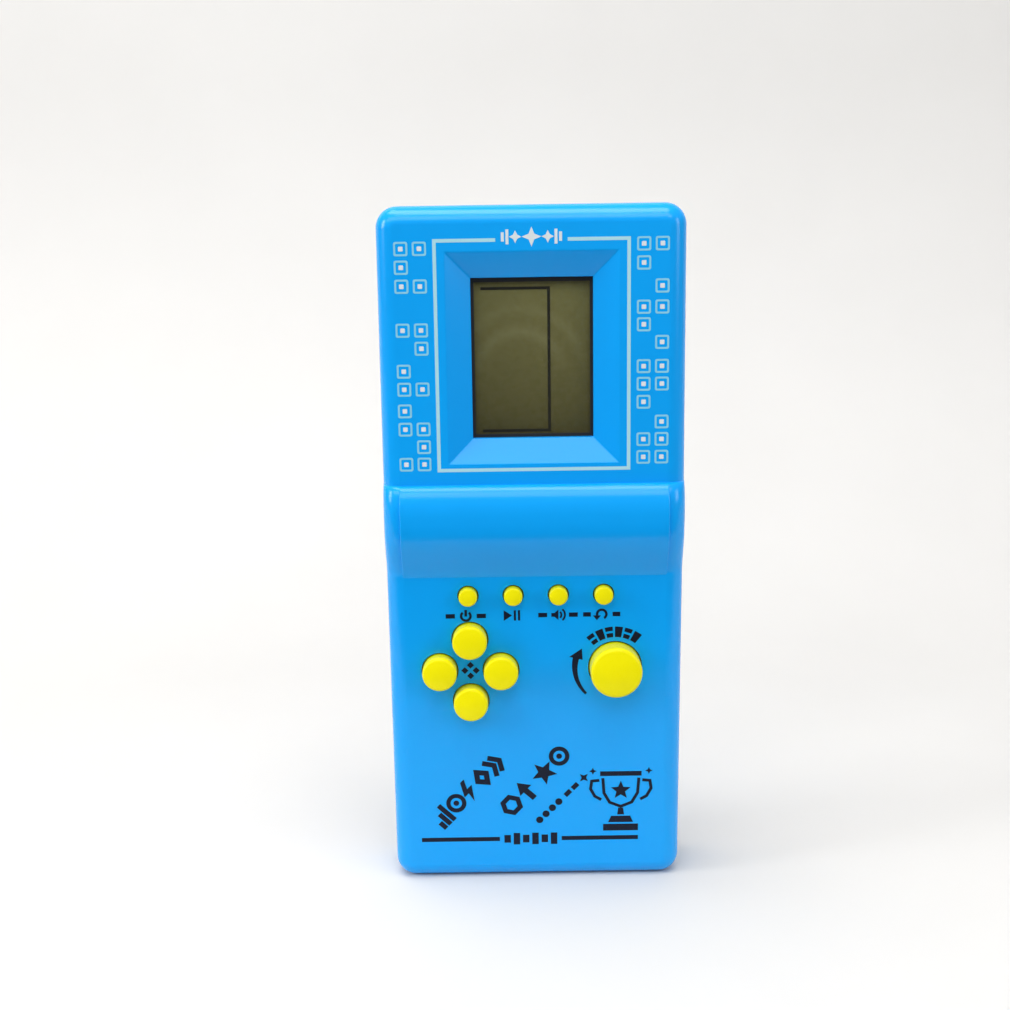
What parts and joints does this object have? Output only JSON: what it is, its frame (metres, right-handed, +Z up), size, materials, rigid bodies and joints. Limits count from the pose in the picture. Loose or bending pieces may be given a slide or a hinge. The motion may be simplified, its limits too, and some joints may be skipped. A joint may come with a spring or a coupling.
{
  "type": "handheld lcd game",
  "caption": "Upright pocket game with a recessed display, a raised grip roll, round push buttons, a direction cluster and a hinged battery lid on the back.",
  "frame": {"origin": "middle of the bottom end, in the plane of the bottom face, centred on the greatest width and depth", "axes": "+Z up along the case's length, +X to the right seen from the front, the front faces -Y"},
  "size_m": [0.075, 0.03, 0.175],
  "materials": {
    "shell_blue": "glossy moulded styrene",
    "button_yellow": "glossy moulded, domed",
    "lens_clear": "clear, polished",
    "lcd_glass": "polarised olive",
    "lcd_foil": "matte foil",
    "holder_white": "moulded",
    "rubber_grey": "matte silicone",
    "board_green": "solder mask",
    "epoxy_black": "satin",
    "speaker_metal": "pressed",
    "cell_sleeve": "plain printed sleeve",
    "contact_steel": "nickel plated",
    "screw_steel": "zinc plated",
    "wire_red": "satin",
    "wire_black": "satin"
  },
  "bodies": {
    "case": {"front_shell": "shell_blue", "rear_shell": "shell_blue", "screen_lens": "lens_clear", "lcd_front_glass": "lcd_glass", "lcd_rear_glass": "lcd_glass", "lcd_reflector": "lcd_foil", "lcd_holder": "holder_white", "zebra_strip": "rubber_grey", "main_board": "board_green", "chip_blob": "epoxy_black", "capacitor": "epoxy_black", "speaker": "speaker_metal", "keypad_mat": "rubber_grey", "cell_a": "cell_sleeve", "cell_b": "cell_sleeve", "contact_plus": "contact_steel", "contact_minus": "contact_steel", "contact_bridge": "contact_steel", "spring_a": "contact_steel", "spring_b": "contact_steel", "wire_plus": "wire_red", "wire_minus": "wire_black", "wire_speaker_a": "wire_red", "wire_speaker_b": "wire_black", "case_screw_1": "screw_steel", "case_screw_2": "screw_steel", "case_screw_3": "screw_steel", "case_screw_4": "screw_steel", "case_screw_5": "screw_steel", "case_screw_6": "screw_steel", "board_screw_1": "screw_steel", "board_screw_2": "screw_steel", "board_screw_3": "screw_steel", "board_screw_4": "screw_steel"},
    "door": {"battery_door": "shell_blue"},
    "button_power": {"button_power": "button_yellow", "plunger_power": "rubber_grey"},
    "button_pause": {"button_pause": "button_yellow", "plunger_pause": "rubber_grey"},
    "button_sound": {"button_sound": "button_yellow", "plunger_sound": "rubber_grey"},
    "button_reset": {"button_reset": "button_yellow", "plunger_reset": "rubber_grey"},
    "button_up": {"button_up": "button_yellow", "plunger_up": "rubber_grey"},
    "button_down": {"button_down": "button_yellow", "plunger_down": "rubber_grey"},
    "button_left": {"button_left": "button_yellow", "plunger_left": "rubber_grey"},
    "button_right": {"button_right": "button_yellow", "plunger_right": "rubber_grey"},
    "button_action": {"button_action": "button_yellow", "plunger_action": "rubber_grey"}
  },
  "joints": [
    {"name": "press_power", "type": "slide", "parent": "case", "child": "button_power", "axis": [0, 1, 0], "range_m": [0, 0.001], "stiffness_N_per_m": 300},
    {"name": "press_pause", "type": "slide", "parent": "case", "child": "button_pause", "axis": [0, 1, 0], "range_m": [0, 0.001], "stiffness_N_per_m": 300},
    {"name": "press_sound", "type": "slide", "parent": "case", "child": "button_sound", "axis": [0, 1, 0], "range_m": [0, 0.001], "stiffness_N_per_m": 300},
    {"name": "press_reset", "type": "slide", "parent": "case", "child": "button_reset", "axis": [0, 1, 0], "range_m": [0, 0.001], "stiffness_N_per_m": 300},
    {"name": "press_up", "type": "slide", "parent": "case", "child": "button_up", "axis": [0, 1, 0], "range_m": [0, 0.001], "stiffness_N_per_m": 300},
    {"name": "press_down", "type": "slide", "parent": "case", "child": "button_down", "axis": [0, 1, 0], "range_m": [0, 0.001], "stiffness_N_per_m": 300},
    {"name": "press_left", "type": "slide", "parent": "case", "child": "button_left", "axis": [0, 1, 0], "range_m": [0, 0.001], "stiffness_N_per_m": 300},
    {"name": "press_right", "type": "slide", "parent": "case", "child": "button_right", "axis": [0, 1, 0], "range_m": [0, 0.001], "stiffness_N_per_m": 300},
    {"name": "press_action", "type": "slide", "parent": "case", "child": "button_action", "axis": [0, 1, 0], "range_m": [0, 0.001], "stiffness_N_per_m": 300},
    {"name": "door_hinge", "type": "hinge", "parent": "case", "child": "door", "pos_m": [0, 0.01408, 0.12293], "axis": [-1, 0, 0], "range_deg": [0, 90]}
  ]
}
